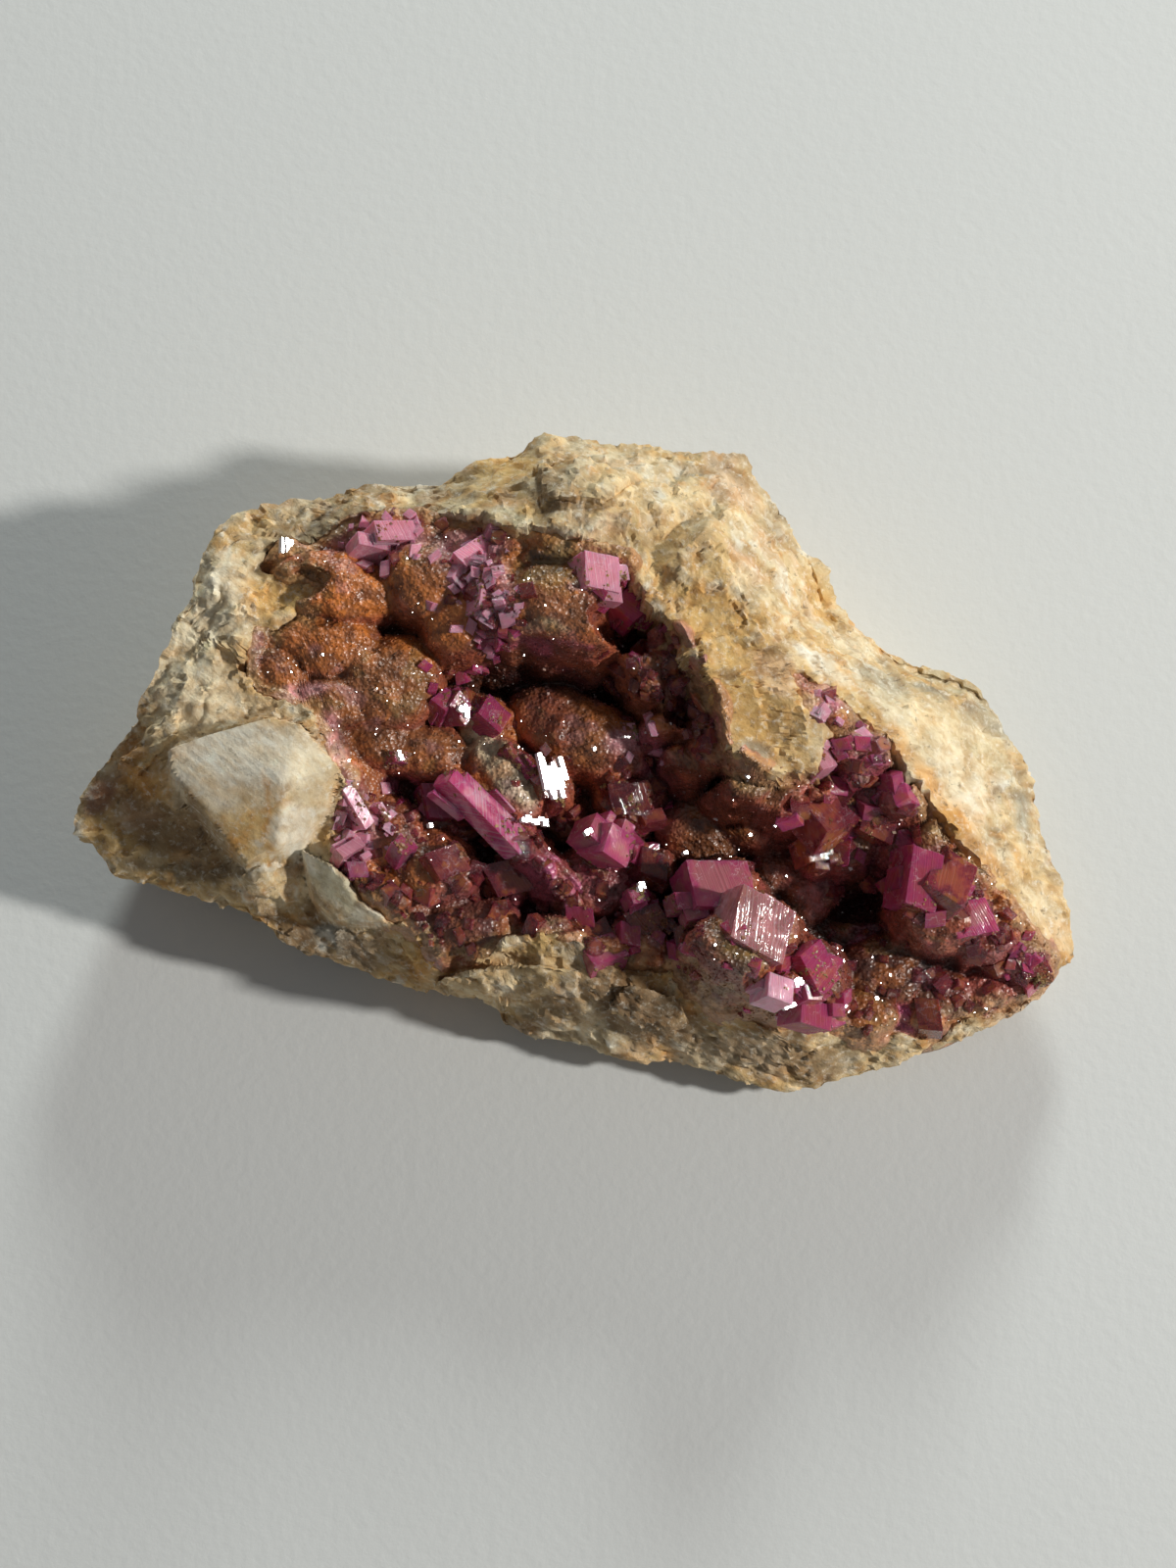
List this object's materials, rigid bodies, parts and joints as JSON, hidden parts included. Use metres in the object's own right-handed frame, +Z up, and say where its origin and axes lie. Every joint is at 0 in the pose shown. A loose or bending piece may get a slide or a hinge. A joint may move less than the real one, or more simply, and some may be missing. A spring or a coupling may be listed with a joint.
{
  "type": "cobaltoan dolomite specimen",
  "caption": "Hand specimen of ochre and grey carbonate rock with a hollow in its top, lined with rusty and magenta-pink dolomite rhombs.",
  "frame": {"origin": "centre of the footprint of the whole specimen, on the surface that it rests on", "axes": "+X along the specimen's length, towards the end where the crust runs down to the rock's edge; +Y from the near rim to the high rim; +Z up, out of the hollow"},
  "size_m": [0.0926, 0.0593, 0.0301],
  "materials": {
    "ochre_rock": "rough broken carbonate rock, pale ochre with grey and white patches",
    "pink_dolomite": "glossy, partly see-through dolomite crystals, magenta to rust brown"
  },
  "bodies": {
    "root": {"matrix_rock": "ochre_rock", "dolomite_crust": "pink_dolomite"}
  },
  "joints": []
}
